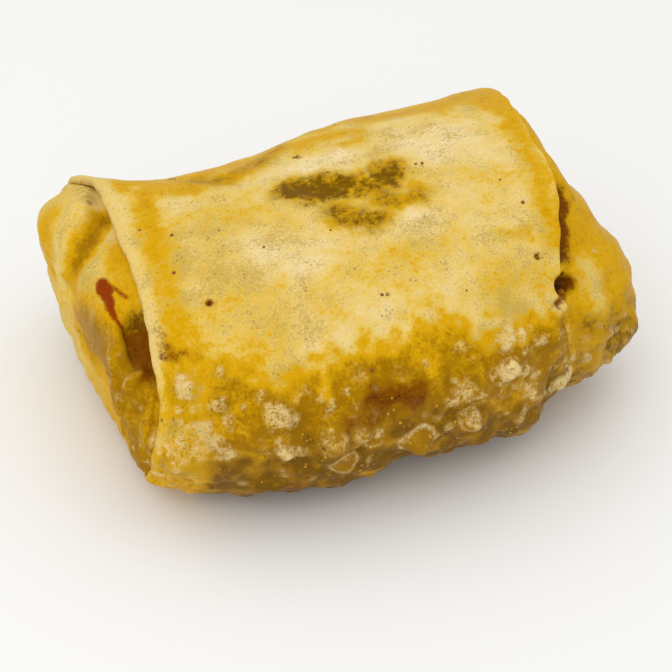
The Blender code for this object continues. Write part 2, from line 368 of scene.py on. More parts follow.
# Bubbles of the skin that stand out on the sleeve, one dent and four pits: x, angle, radius and height.
BUBBLES = (
    (-32.9, 179, 5.2, 1.69),
    (-11.7, 176, 4.2, 1.82),
    (-7.6, 175, 2.4, 0.91),
    (1.3, 186, 3.2, 2.86),
    (-19.1, 157, 4.8, 0.78),
    (-18.9, 175, 2.4, 1.17),
    (-27.4, 166, 3.0, 1.04),
    (-27.5, 151, 2.2, 0.78),
    (-31.0, 146, 2.4, 0.78),
    (15.5, 166, 3.0, 1.3),
    (15.8, 154, 2.2, 0.78),
    (8.2, 170, 2.4, 0.91),
    (10.0, 183, 3.0, 1.17),
    (20.0, 181, 3.0, 1.3),
    (20.0, 203, 5.0, 1.69),
    (26.0, 188, 3.0, 1.04),
    (-33.5, 207, 8.0, 1.17),
    (-36.0, 38, 13.0, -1.3),
    (26.9, 146.5, 2.3, -1.9),
    (25.3, 151, 1.1, -0.7),
    (23.9, 130, 0.9, -0.9),
    (-25.1, 112, 0.9, -0.3),
)

# Pale skin over bubbles: x, angle, radius and share.
PALE_SPOTS = (
    (-30.9, 146, 1.6, 0.9), (-27.4, 152, 1.1, 0.7), (-29.6, 165, 1.9, 0.8), (-28.2, 169, 1.9, 0.8),
    (-27.0, 174, 1.6, 0.7), (-31.9, 174, 3.8, 0.42), (-18.7, 157, 2.8, 0.75), (-18.6, 174, 1.7, 0.9),
    (-21.4, 148, 0.7, 0.7), (-26.1, 138, 0.8, 0.8), (-12.2, 157, 0.8, 0.8), (15.6, 153, 1.4, 0.9),
    (15.1, 166, 2.0, 1.0), (18.5, 170, 1.1, 0.8), (6.8, 172, 1.4, 0.6), (8.1, 168, 1.2, 0.6),
    (10.1, 172, 1.1, 0.6), (9.4, 181, 1.5, 0.6), (27.2, 178, 1.2, 0.8),
    (26.2, 186, 1.9, 0.9), (19.3, 179, 1.2, 0.7), (18.7, 191, 1.6, 0.6), (8.1, 151, 1.5, 0.45),
    (-7.6, 149, 1.3, 0.4), (-7.7, 174, 1.3, 0.5), (-6.4, 188, 0.9, 0.7), (22.2, 181, 1.1, 0.6),
    (23.0, 188, 1.2, 0.6), (-1.1, 154, 0.9, 0.4), (-15.4, 150, 0.8, 0.5), (-12.5, 172, 2.2, 0.4),
)

# Creases and dimples of the sleeve: width, height, and the x and angle of each point along it.
SLEEVE_CREASES = (
    (2.6, -0.5, ((-21.0, 52), (-17.0, 61), (-13.0, 66))),
    (3.6, -0.5, ((-6.0, 80), (0.0, 87), (7.0, 90))),
    (1.6, 0.3, ((-10.5, 132), (-11.6, 143), (-12.2, 151))),
    (2.0, -0.35, ((-14.5, 138), (-14.0, 150))),
    (1.2, -0.25, ((19.0, 117), (24.0, 121))),
    (2.4, -0.6, ((-5.5, 163), (-1.0, 165))),
)

# The swells and creases of each end fold: width, height, and the reach and angle of each point along it.
CREASES = {
    "left fold": (
        (11.0, 1.8, ((0.94, 48),)),
        (3.6, -1.1, ((0.99, 79), (0.92, 82), (0.77, 82), (0.45, 77))),
        (3.0, 0.7, ((0.97, 68), (0.87, 76), (0.6, 70))),
        (2.2, 0.5, ((0.98, 88), (0.93, 96))),
        (1.6, -0.6, ((0.92, 97), (0.90, 108), (0.93, 119))),
        (3.0, -2.0, ((0.97, 122), (0.95, 130), (0.92, 136))),
        (1.8, 1.1, ((0.98, 140), (0.93, 143), (0.86, 145), (0.80, 150))),
        (1.6, 0.7, ((0.72, 130), (0.66, 143), (0.62, 156), (0.68, 172))),
        (2.4, -0.8, ((0.8, 140), (0.74, 153), (0.8, 165), (0.84, 185))),
    ),
    "right fold": (
        (5.0, 1.2, ((0.8, 186),)),
        (9.0, 0.8, ((0.7, 145),)),
    ),
}


def away_from(points, path):
    """How far each point is from a path of straight runs, or from its one point."""
    nearest = np.linalg.norm(points - path[0], axis=-1)
    for start, end in zip(path[:-1], path[1:]):
        run = end - start
        part_way = np.clip((points - start) @ run / (run @ run), 0, 1)
        nearest = np.minimum(nearest, np.linalg.norm(points - start - part_way[..., None] * run, axis=-1))
    return nearest


def on_sleeve(places):
    """The points of the sleeve at each x and angle."""
    x, around = np.array(places, float).T
    return section(x, around)


def on_fold(end, places):
    """The points of an end fold at each reach and angle."""
    reach, around = np.array(places, float).T
    return fold(end, reach, around)


def swirl(points, size, seed=0.0):
    """Smooth noise of about this size in millimetres, between -1 and 1, at each point."""
    flat = (points / size + seed).reshape(-1, 3).tolist()
    return np.array([noise.noise(Vector(point)) for point in flat]).reshape(points.shape[:-1])


def small_bubbles():
    """The centre, radius and height of each small bubble of the lower front."""
    rng = np.random.default_rng(23)
    sleeve_centres = section(rng.uniform(-34, 27, 40), 158 + np.abs(rng.normal(0, 42, 40)))
    fold_centres = fold(RIGHT, rng.uniform(0.8, 0.99, 8), rng.uniform(165, 235, 8))
    centres = np.concatenate([sleeve_centres, fold_centres])
    radii = rng.uniform(2.0, 3.2, len(centres))
    return zip(centres, radii, radii * rng.uniform(0.12, 0.25, len(centres)))


def tiny_bubbles():
    """The centre, radius and height of each tiny bubble, crowded low at the front."""
    rng = np.random.default_rng(31)
    sleeve_centres = section(rng.uniform(-35, 28, 300), 152 + np.abs(rng.normal(0, 40, 300)))
    fold_centres = fold(RIGHT, rng.uniform(0.8, 0.99, 50), rng.normal(188, 20, 50))
    left_centres = fold(LEFT, rng.uniform(0.6, 0.99, 30), rng.normal(195, 22, 30))
    centres = np.concatenate([sleeve_centres, fold_centres, left_centres])
    radii = rng.uniform(0.55, 1.5, len(centres))
    return zip(centres, radii, radii * rng.uniform(0.06, 0.24, len(centres)))


def low_front(angle):
    """1 where the skin blistered low at the front, and 0 on the rest."""
    from_front = turn(angle, 180)
    return ramp(from_front, -45, -15) * (1 - ramp(from_front, 60, 110))


def wrapper_flap(points, angle):
    """The wrapper's last corner, stuck over the back from below: a low step along its two edges."""
    edge = 372 - 1.05 * np.abs(points[..., 0] + 2) + 0.8 * np.sin(points[..., 0] * 0.9)
    inside = np.radians(turn(edge, angle)) * 23
    return 1.0 * ramp(inside, -0.35, 0.35) * (1 - ramp(inside, 4, 18))


def front_petal(points, angle):
    """A tongue of the wrapper that laps over the left fold, low at the front beside the rim."""
    past_rim = rim(LEFT, angle) - points[..., 0]
    tongue = 3.4 * bump(turn(angle, 180), 36)
    return 0.8 * ramp(tongue - past_rim, -0.2, 0.45) * (tongue > 0)


def relief(grid, zone, angle):
    """How far the skin is raised at each point of the grid."""
    points = carried(grid, grid, zone, angle)
    near = carried(grid, grid, zone, angle, 0.9)
    front = low_front(angle)
    height = 0.75 * swirl(points, 13.0) + (0.18 + 0.8 * front) * swirl(points, 4.5, 20.0)
    height += (0.07 + 0.28 * front) * swirl(near, 1.9, 40.0) + (0.03 + 0.10 * front) * swirl(near, 0.9, 60.0)
    for x, around, radius, share in PALE_SPOTS:
        height += 0.32 * share * radius * bump(away_from(points, section([x], around)), radius * 1.25)
    for x, around, radius, tall in BUBBLES:
        height += tall * bump(away_from(points, section([x], around)), radius)
    for centre, radius, tall in small_bubbles():
        height += tall * bump(away_from(points, [centre]), radius)
    for centre, radius, tall in tiny_bubbles():
        height += tall * bump(away_from(points, [centre]), radius)
    for width, tall, places in SLEEVE_CREASES:
        height += tall * bump(away_from(points, on_sleeve(places)), width)
    flap = wrapper_flap(points, angle)
    height += flap

    for end, name in ((LEFT, "left fold"), (RIGHT, "right fold")):
        rows = zone == name
        raised, sunk = np.zeros(grid[rows].shape[:2]), np.zeros(grid[rows].shape[:2])
        if end is LEFT:
            raised += front_petal(grid[rows], angle)
        for width, tall, places in CREASES[name]:
            crease = tall * bump(away_from(grid[rows], on_fold(end, places)), width)
            raised += np.maximum(crease, 0)
            sunk += np.minimum(crease, 0)
        past_rim = (grid[rows][..., 0] - rim(end, angle)) * end.side
        gathered = np.sin(np.radians(angle) * 11 + 2.4 * swirl(grid[rows], 9.0, 200.0))
        from_middle = np.linalg.norm((grid[rows] - spokes(end, angle)[0])[..., 1:], axis=-1)
        pleats = 0.28 * gathered * ramp(past_rim, 1.0, 4.0) * ramp(from_middle, 2.0, 11.0)
        pleats *= 1 - front
        height[rows] += raised * ramp(past_rim, 0.2, 1.4) + sunk + pleats
        height[rows] -= flap[rows] * ramp(past_rim, 0.5, 5.0)
    return height


plain, zone, angle = skin()
away = carried(outward(plain), plain, zone, angle)
fried = plain + away * relief(plain, zone, angle)[..., None] + TO_CENTRE
fried[..., 2] = np.maximum(fried[..., 2], 0)


# What the frying did to the skin's colour: flour left pale on top, clear golden dough at the rims and
# folds, thin oil-soaked patches that show the filling, toasted stains, and pale skin over the bubbles.
# The oil and toast shares also carry painted shade, in the grooves, hollow and slot beside the rims and
# low at the front towards the underside, and the flour share carries painted light beside the left rim.
# Each is a share at every point, 0 for none and 1 for plenty. Flour below 0 is dough that fried darker,
# and in places painted shade.

# The x and angle of points along the front edge of the floury top, and the degrees it thins out over.
FLOUR_EDGE = ((-36, 118), (-31, 121), (-26, 136), (-18, 143), (-12, 139), (-5, 141), (7, 142), (13, 150),
              (20, 152), (25, 156), (30, 158))
FLOUR_THINS = 12
# The angles between which the top's flour sets in at the back, and the angle that it ends before.
TOP_FLOUR_STARTS = (42, 62)
TOP_FLOUR_ENDS = 200
# The angles between which the blistered skin sets in at the front, and ends under the roll.
BLISTERS_START = (146, 182)
BLISTERS_END = (250, 300)
BEADS_END = 212
# The x between which the clear dough beside the left rim gives way to the darker front.
BESIDE_LEFT_RIM = (-31.5, -27.5)

# Strokes of a finish over the sleeve: width, softness, the x and angle of each point along it, and share.
GOLD_STROKES = (
    (1.2, 3.0, ((-27, 56), (-29, 70), (-29.9, 86), (-29.8, 98), (-30.2, 112), (-30.6, 124), (-31.5, 140)),
     1.0),
    (2.0, 2.6, ((-31, 56), (-25, 60), (-22, 62)), 1.0),
    (1.6, 2.6, ((15, 51), (21, 52), (26, 54)), 0.95),
    (0.9, 2.6, ((26.5, 50), (28.6, 62), (29.4, 76), (28.8, 92), (28.2, 104), (27.6, 116), (27.0, 128)), 1.0),
    (2.4, 2.8, ((27.5, 56), (29, 70)), 1.0),
    (1.0, 2.0, ((-3, 54), (2, 57), (6, 61)), 0.9),
    (0.9, 1.6, ((3, 68), (6, 67)), 0.8),
    (0.4, 1.6, ((19, 116.5), (21.3, 118), (23.7, 120.5)), 0.8),
    (2.0, 2.0, ((-32.4, 147), (-31.6, 153), (-31.2, 158)), 1.0),
    (1.6, 4.0, ((3, 112), (7, 116), (11, 114)), 0.25),
    (2.0, 4.5, ((-16, 120), (-10, 124)), 0.2),
    (2.0, 4.0, ((17, 132), (24, 138)), 0.5),
    (3.0, 5.0, ((-27, 92), (-20, 98), (-19, 108)), 0.3),
    (3.0, 5.0, ((-20, 82), (-13, 86)), 0.3),
    (3.0, 5.0, ((-6, 104), (2, 106)), 0.15),
    (3.0, 5.0, ((-23, 120), (-19, 130)), 0.35),
    (1.5, 3.0, ((-14, 60), (-8, 64)), 0.4),
)
CLOUD_STROKES = (
    (3.0, 5.0, ((-16, 96), (-9, 104)), 0.45),
    (1.6, 3.5, ((-11, 66), (-5, 68), (1, 74)), 0.5),
    (3.0, 5.0, ((12, 76), (20, 84)), 0.45),
    (1.5, 4.0, ((2, 103), (9, 101)), 0.35),
)
FLOUR_STROKES = (
    (0.5, 1.2, ((-10.5, 130), (-11.6, 143), (-12.2, 152)), 0.6),
    (0.6, 1.0, ((-29.4, 61), (-31, 66)), 0.6),
)
OIL_STROKES = (
    (1.9, 3.0, ((-7.4, 79), (-4.5, 83), (-1.2, 85)), 1.15),
    (1.5, 3.0, ((2.8, 88), (5.5, 88), (7.6, 85)), 0.95),
    (1.5, 2.2, ((4.6, 93), (7.0, 95), (9.2, 95)), 0.5),
    (1.6, 2.4, ((-3.0, 92), (-0.5, 97), (2.2, 99)), 0.6),
    (1.2, 2.6, ((-21, 54), (-17, 61), (-14.7, 60), (-10, 54), (-6, 48)), 0.45),
)
TOAST_STROKES = (
    (0.6, 1.4, ((-33.4, 126), (-32.6, 133), (-30.5, 133), (-28.2, 130)), 0.7),
    (0.7, 1.0, ((-25.3, 111), (-25.0, 112)), 0.4),
    (1.4, 2.6, ((-5.0, 160), (-3, 162.5), (0.5, 165)), 1.1),
    (1.2, 2.6, ((-9.5, 167), (-6, 168.5)), 0.7),
)
# Burnt specks and the pits at the right rim, whose outlines stay smooth.
BURNT_SPECKS = (
    (0.35, 0.5, ((-25.1, 111.5), (-25.1, 112.0)), 1.5),
    (0.1, 0.3, ((-28.1, 116.9), (-28.1, 117)), 1.0),
    (1.3, 0.7, ((27.3, 145.2), (26.9, 147.2)), 1.4),
    (0.5, 0.7, ((26.0, 149), (25.3, 151.5)), 0.9),
    (0.3, 0.5, ((23.9, 129.7), (23.9, 130.3)), 1.2),
    (0.15, 0.3, ((-4.4, 63), (-4.3, 63.5)), 0.6),
    (0.12, 0.3, ((-23.0, 47), (-23.1, 47.2)), 0.9),
)
# Where burnt crumbs stick together: x and angle.
CRUMB_PLACES = ((-23.1, 47), (-20.5, 50), (-4.3, 63), (12.0, 86))
# Clear bubbles that show pale only round their rims: x, angle and radius.
PALE_RIMS = (
    (1.3, 185, 2.9), (8.6, 169, 1.4), (10.4, 174, 1.3), (9.2, 181, 1.6), (19.6, 184, 1.6), (-5.6, 178, 1.5),
    (-10.4, 183, 2.2), (15.4, 176, 1.3),
)
# Strokes over each end fold: width, softness, the reach and angle of each point along it, and share.
# Clear strokes take flour away, and darker ones go on from there to dough that fried darker. Some of the
# oil, toast and darker strokes are painted shade in the groove, hollow and slot beside the rims.
FOLD_STROKES = {
    "left fold": {
        "clear": (
            (1.3, 2.2, ((0.86, 50), (0.66, 45), (0.5, 10)), 1.0),
            (1.2, 1.6, ((0.995, 78), (0.98, 80), (0.91, 81), (0.79, 82), (0.5, 76)), 1.0),
            (4.0, 4.0, ((0.2, 130), (0.45, 140), (0.62, 150), (0.8, 160), (0.85, 185)), 1.0),
            (1.5, 2.4, ((0.76, 122), (0.85, 128)), 1.0),
            (3.4, 3.0, ((0.2, 110), (0.41, 116), (0.39, 133), (0.76, 122), (0.81, 127)), 1.0),
            (4.0, 5.0, ((0.55, 108), (0.3, 120), (0.7, 140), (0.8, 165), (0.8, 190)), 1.0),
        ),
        "darker": (
            (0.8, 2.0, ((0.995, 78), (0.97, 80), (0.91, 81.5), (0.82, 82)), 0.7),
            (4.0, 5.0, ((0.3, 120), (0.7, 140), (0.8, 165), (0.8, 190)), 0.6),
            # Painted shade on the fold along the left rim's edge.
            (1.6, 2.0, ((0.99, 93), (0.985, 102), (0.97, 112)), 0.7),
            (1.6, 3.0, ((0.45, 125), (0.5, 150), (0.62, 165)), 0.35),
        ),
        "oil_and_shade": (
            # Painted shadow under the left rim's top edge.
            (0.5, 1.6, ((1.0, 40), (0.99, 58), (0.99, 76)), 0.45),
            # Painted shade in the hollow between the left rim and its fold at the front.
            (1.8, 2.0, ((0.99, 120), (0.97, 128), (0.96, 136)), 0.9),
        ),
        "toast_and_shade": (
            # The next three are painted shade in the hollow and its creases at the left rim's front.
            (1.0, 2.0, ((0.955, 123), (0.965, 129), (0.95, 135)), 0.95),
            (0.5, 1.6, ((0.90, 126), (0.88, 134)), 0.6),
            (0.4, 1.0, ((0.80, 132), (0.78, 140)), 0.4),
            (0.25, 0.4, ((0.54, 215), (0.54, 216)), 0.9),
            (0.25, 0.4, ((0.69, 176), (0.67, 185)), 0.5),
        ),
        "carrot": (
            (1.2, 0.6, ((0.915, 97), (0.92, 100)), 1.0),
            (0.8, 0.6, ((0.915, 101), (0.905, 105)), 1.0),
            (0.5, 0.6, ((0.905, 105), (0.90, 111)), 1.0),
            (0.25, 0.6, ((0.90, 111), (0.91, 115), (0.93, 119)), 1.0),
            (0.3, 0.5, ((0.94, 98), (0.955, 103), (0.975, 109)), 0.8),
        ),
        "pale": (
            (0.3, 0.8, ((0.72, 128), (0.71, 136), (0.62, 153), (0.65, 158), (0.70, 165)), 0.4),
            (0.3, 0.8, ((0.97, 139), (0.94, 141), (0.87, 144), (0.83, 147)), 0.45),
        ),
    },
    "right fold": {
        "clear": ((70.0, 1.0, ((0.5, 120),), 1.0),),
        "flour": ((1.3, 2.6, ((0.93, 140), (0.92, 148), (0.93, 156)), 0.75),),
        "oil_and_shade": (
            (1.4, 3.0, ((0.97, 166), (0.93, 172), (0.88, 168), (0.92, 190)), 0.5),
            # Painted shade in the slot behind the right rim.
            (1.2, 1.2, ((1.0, 108), (0.985, 116), (0.985, 136)), 0.9),
        ),
        # Painted shade in the slot behind the right rim.
        "toast_and_shade": ((0.9, 1.0, ((1.0, 113), (0.985, 120), (0.985, 135)), 1.0),),
        "pale": (
            (0.8, 0.8, ((0.86, 179), (0.865, 179)), 0.7),
            (0.4, 0.8, ((0.94, 168), (0.94, 169)), 0.7),
            (0.5, 0.8, ((0.90, 177), (0.90, 178)), 0.7),
            (0.7, 0.8, ((0.97, 184), (0.97, 185)), 0.8),
        ),
    },
}


def stroke(points, path, width, soft):
    """1 within this width of a path, falling to 0 over the soft edge."""
    return 1 - ramp(away_from(points, path), width - soft / 2, width + soft)


def blistered():
    """1 where the skin blistered, low at the front, falling to 0 towards the top and a fold's middle."""
    low = ramp(angle, *BLISTERS_START) * (1 - ramp(angle, *BLISTERS_END)) * np.ones(plain.shape[:2])
    for end, name in ((LEFT, "left fold"), (RIGHT, "right fold")):
        from_middle = np.linalg.norm((plain[zone == name] - spokes(end, angle)[0])[..., 1:], axis=-1)
        low[zone == name] *= ramp(from_middle, 4.0, 16.0)
    return low


def first_marks():
    """The sleeve's shares before any stroke: flour on top, darker, oilier dough low at the front, painted
    shade deepening it downwards, and painted light by the left rim.
    """
    x = points[..., 0]
    edge = np.interp(x, *np.array(FLOUR_EDGE, float).T) + 9 * close + 5 * broad
    up_to_edge = 1 - ramp(angle, edge - FLOUR_THINS, edge + FLOUR_THINS)
    from_back = ramp(angle + 14 * broad + 6 * close, *TOP_FLOUR_STARTS) * (angle < TOP_FLOUR_ENDS)
    front = ramp(angle, edge - 8, edge + 7) * ramp(x, -30, -25) * (1 - ramp(angle, *BLISTERS_END))
    past_rim = ramp(x, *BESIDE_LEFT_RIM)
    on_top = up_to_edge * from_back * (0.84 + 0.35 * broad + 0.25 * close)
    behind = np.clip(0.25 + 0.9 * broad + 0.5 * close, 0, 0.8) * (1 - from_back) * (1 - low)
    # Painted shade: from 150 to 176 degrees the front's darker dough is darkened further towards the
    # underside.
    darker = 0.60 + 0.24 * ramp(angle, 150, 176) + 0.4 * broad + 0.3 * close
    # Painted light: on the upper front beside the left rim, flour is raised towards honey where light falls
    # from the left.
    painted_rim_light = ramp(angle, 116, 128) * (1 - ramp(angle, 160, 176)) * (1 - ramp(x, -31.0, -28.0))
    # The oil share deepens from 166 to 188 degrees towards the underside: partly oil-soaked dough and partly
    # painted shade.
    oily_and_shaded = np.clip(0.38 + 0.55 * ramp(angle, 166, 188) + 0.8 * broad + 0.7 * close, 0, 1.1)
    toasty = 0.6 * np.clip(1.1 * swirl(points, 5.0, 170.0) - 0.1, 0, 1)
    return {
        "flour": np.maximum(on_top, behind) - darker * front * past_rim + 0.45 * painted_rim_light,
        "oil_and_shade": low * oily_and_shaded * past_rim,
        "toast_and_shade": low * toasty * past_rim,
        "carrot": np.zeros_like(x),
        "pale": np.zeros_like(x),
        "wet": low.copy(),
        "beads": low * np.clip(0.25 + 1.6 * broad + 1.2 * close, 0, 1) * (angle < BEADS_END),
        "crumbs": 0.0012 * ramp(angle, 40, 60) * (1 - ramp(angle, 190, 215)) * np.ones_like(x),
    }


def paint_sleeve():
    """The strokes over the sleeve. Streaked outlines run along it, and burnt specks keep smooth ones."""
    uneven = points + 1.1 * wander
    streaked = uneven + 0.9 * swirl(points * (3.0, 0.7, 1.0), 2.2, 150.0)[..., None] * np.array((0, 1, 0))
    for width, soft, places, most in GOLD_STROKES:
        marks["flour"] *= 1 - most * stroke(uneven, on_sleeve(places), width, soft)
    for width, soft, places, most in CLOUD_STROKES:
        marks["flour"] += most * stroke(uneven, on_sleeve(places), width, soft)
    for width, soft, places, most in FLOUR_STROKES:
        marks["flour"] += (most - marks["flour"]) * stroke(uneven, on_sleeve(places), width, soft)
    for width, soft, places, most in OIL_STROKES:
        marks["oil_and_shade"] = np.maximum(marks["oil_and_shade"], most * stroke(streaked, on_sleeve(places), width, soft))
        marks["flour"] *= 1 - 0.9 * stroke(streaked, on_sleeve(places), width + 0.4, soft)
    for outline, strokes in ((streaked, TOAST_STROKES), (points, BURNT_SPECKS)):
        for width, soft, places, most in strokes:
            mark = most * stroke(outline, on_sleeve(places), width, soft)
            marks["toast_and_shade"] = np.maximum(marks["toast_and_shade"], mark)
    for place in CRUMB_PLACES:
        marks["crumbs"] = np.maximum(marks["crumbs"], 0.8 * stroke(points, on_sleeve([place]), 0.5, 0.3))


def paint_bubbles():
    """Pale skin over the bubbles: ragged spots in darker rings, clear bubbles with pale rims, and flecks."""
    ragged = points + 1.15 * wander + 0.5 * swirl(points, 1.0, 210.0)[..., None]
    for x, around, radius, most in PALE_SPOTS:
        centre = section([x], around)
        spot = stroke(ragged, centre, radius * 0.72, 1.5)
        ring = stroke(ragged, centre, radius * 1.25, 2.2) - spot
        marks["pale"] = np.maximum(marks["pale"], 0.95 * most * spot)
        marks["oil_and_shade"] = np.maximum(marks["oil_and_shade"] * (1 - 0.9 * spot), 0.35 * ring)
        marks["toast_and_shade"] *= 1 - spot
    for x, around, radius in PALE_RIMS:
        centre = section([x], around)
        edge_only = stroke(points + 0.3 * wander, centre, radius, 0.6)
        edge_only -= stroke(points + 0.3 * wander, centre, radius * 0.78, 0.6)
        marks["pale"] = np.maximum(marks["pale"], 0.9 * edge_only)
        marks["oil_and_shade"] *= 1 - 0.8 * stroke(points, centre, radius, 0.8)
    rng = np.random.default_rng(7)
    for centre, radius, _ in tiny_bubbles():
        most = rng.uniform(0.1, 0.8)
        fleck = stroke(points + 0.2 * wander, [centre], radius * 0.5, 0.6)
        marks["pale"] = np.maximum(marks["pale"], 0.75 * most * fleck * (most > 0.35))
        marks["oil_and_shade"] *= 1 - 0.5 * most * fleck


def paint_left_rim():
    """The thick left rim keeps its flour on the rounded edge, down to where the front is golden."""
    in_sight = 1 - ramp(angle, 325, 350)
    for row in np.flatnonzero(zone == "left lip"):
        marks["flour"][row] = 0.9 - 0.55 * ramp(angle, 138, 162) * in_sight
        marks["flour"][row] -= 0.35 * ramp(angle, 172, 192) * in_sight
        marks["oil_and_shade"][row] = 0.0
        marks["toast_and_shade"][row] *= 0.3
    for step, row in enumerate(np.flatnonzero(zone == "sleeve")[:3]):
        kept = (1.9 - 0.25 * step) * (1 - ramp(angle, 134, 148)) - 1
        marks["flour"][row] = np.maximum(marks["flour"][row], kept)


def paint_fold(end, name):
    """An end fold's shares: thin flour, shade in the groove behind its rim, and its own strokes."""
    rows = zone == name
    past_rim = (plain[rows][..., 0] - rim(end, angle)) * end.side
    uneven = plain[rows] + (0.35 if end is LEFT else 0.6) * wander[rows]
    marks["flour"][rows] = (0.75 + 0.35 * broad[rows]) * (1 - low[rows])
    marks["beads"][rows] *= ramp(past_rim, 1.5, 3.0)
    marks["crumbs"][rows] = 0
    if end is LEFT:
        marks["wet"][rows] = 0
        marks["oil_and_shade"][rows] = 0
        marks["toast_and_shade"][rows] = 0
    else:
        marks["oil_and_shade"][rows] *= 0.6
    # Painted shade: where the groove behind the rim is open, it is darkened through the toast share.
    shaded = np.clip(end.gap(angle) - 0.5, 0, 1) * (1 - ramp(past_rim + 1.2 * close[rows], 1.3, 3.0))
    marks["toast_and_shade"][rows] = np.maximum(marks["toast_and_shade"][rows], shaded)
    for kind, strokes in FOLD_STROKES[name].items():
        for width, soft, places, most in strokes:
            mark = most * stroke(uneven, on_fold(end, places), width, soft)
            if kind == "clear":
                marks["flour"][rows] *= 1 - mark
            elif kind == "darker":
                marks["flour"][rows] -= mark
            else:
                marks[kind][rows] = np.maximum(marks[kind][rows], mark)


points = carried(plain, plain, zone, angle, 1.5)
broad, close = swirl(points, 7.0, 80.0), swirl(points, 2.2, 90.0)
wander = np.stack([swirl(points, 2.6, 100.0 + 10 * axis) + 0.4 * swirl(points, 0.9, 130.0 + 10 * axis)
                   for axis in range(3)], -1)
low = blistered()
marks = first_marks()
paint_sleeve()
paint_bubbles()
paint_left_rim()
paint_fold(LEFT, "left fold")
paint_fold(RIGHT, "right fold")


# The fried skin's finish: a mix of the doughs that the shares name, each with its own grain, pores and
# gloss. Flour is matt and grainy, and clear dough has a thin film of oil.

# The colours: clear dough from dark to light, floured dough and its stipple, and then stains and marks.
AMBER = (0.34, 0.162, 0.001)
GOLD = (0.65, 0.350, 0.003)
HONEY = (0.72, 0.475, 0.07)
FLOUR = (0.77, 0.57, 0.20)
CLOUDED = (0.82, 0.66, 0.36)
STIPPLE = (0.50, 0.325, 0.04)
# Oil-soaked dough, and also painted shade.
OIL_AND_SHADE = (0.17, 0.080, 0.001)
# Toasted stains, and also painted shade.
TOAST_AND_SHADE = (0.20, 0.060, 0.001)
BURNT = (0.035, 0.010, 0.002)
PALE = (0.74, 0.57, 0.25)
CARROT = (0.26, 0.036, 0.001)
PORE = (0.24, 0.13, 0.004)


class Wire:
    """A socket of the material being built, which adds Math nodes when it is used in a sum."""

    tree = None

    def __init__(self, socket):
        self.socket = socket

    @classmethod
    def node(cls, kind, settings, sockets, output=0):
        """A node of this type, with its settings made first and then its sockets' values or links."""
        made = cls.tree.nodes.new(kind)
        for name, value in settings.items():
            setattr(made, name, value)
        for key, value in sockets.items():
            if isinstance(value, Wire):
                cls.tree.links.new(value.socket, made.inputs[key])
            else:
                made.inputs[key].default_value = value
        return cls(made.outputs[output])

    def maths(self, operation, first, second):
        """The result of a Math node."""
        return Wire.node("ShaderNodeMath", {"operation": operation}, {0: first, 1: second})

    def __add__(self, other):
        return self.maths("ADD", self, other)

    __radd__ = __add__

    def __mul__(self, other):
        return self.maths("MULTIPLY", self, other)

    __rmul__ = __mul__

    def __sub__(self, other):
        return self.maths("SUBTRACT", self, other)

    def __rsub__(self, other):
        return self.maths("SUBTRACT", other, self)

    def step(self, start, end):
        """0 below start and 1 above end, smooth between."""
        settings = {"interpolation_type": "SMOOTHSTEP"}
        return Wire.node("ShaderNodeMapRange", settings, {"Value": self, "From Min": start, "From Max": end})


def share(name):
    """The painted share of this name, read from the mesh."""
    return Wire.node("ShaderNodeAttribute", {"attribute_name": name}, {}, "Fac")


def over(under, color, amount):
    """A colour laid over another in this amount."""
    settings = {"data_type": "RGBA"}
    return Wire.node("ShaderNodeMix", settings, {0: amount, 6: under, 7: color}, 2)


def new_finish(name):
    """A material, its shader and its place on a piece. Wires add their nodes to it from then on."""
    finish = bpy.data.materials.new(name)
    finish.use_nodes = True
    Wire.tree = finish.node_tree
    return finish, Wire.tree.nodes["Principled BSDF"], Wire.node("ShaderNodeTexCoord", {}, {}, "Object")


def grain(place, per_metre, detail=2.0):
    """Noise with about this many lumps to a metre."""
    return Wire.node("ShaderNodeTexNoise", {}, {"Vector": place, "Scale": per_metre, "Detail": detail})


skin_finish, shader, place = new_finish("fried_skin")
finest = grain(place, 4200.0) - 0.5
fine = grain(place, 2200.0) - 0.5
middling = grain(place, 900.0) - 0.5
coarse = grain(place, 260.0, 3.0) - 0.5
cloud = grain(place, 80.0) - 0.5
cells = Wire.node("ShaderNodeTexVoronoi", {}, {"Vector": place, "Scale": 1000.0}, "Distance")
pore = (1 - cells.step(0.10, 0.22)) * coarse.step(-0.05, 0.12)

flour = share("flour") + fine * 1.0 + middling * 0.9 + coarse * 0.9 + cloud * 0.6
flour += (fine * 0.3 + middling * 0.5 + coarse * 0.6) * share("wet")
soaked_and_shaded, toasted_and_shaded, paled = share("oil_and_shade"), share("toast_and_shade"), share("pale")
soaked_and_shaded += (middling * 1.6 + fine * 1.3 + coarse * 1.2) * soaked_and_shaded.step(0.1, 0.6)
toasted_and_shaded += (middling * 0.9 + fine * 1.0) * toasted_and_shaded.step(0.1, 0.5)
pale = (paled + (fine * 1.4 + middling * 1.2) * paled.step(0.0, 0.5)).step(0.1, 1.0)
carrot = (share("carrot") + fine * 0.8).step(0.1, 1.0)

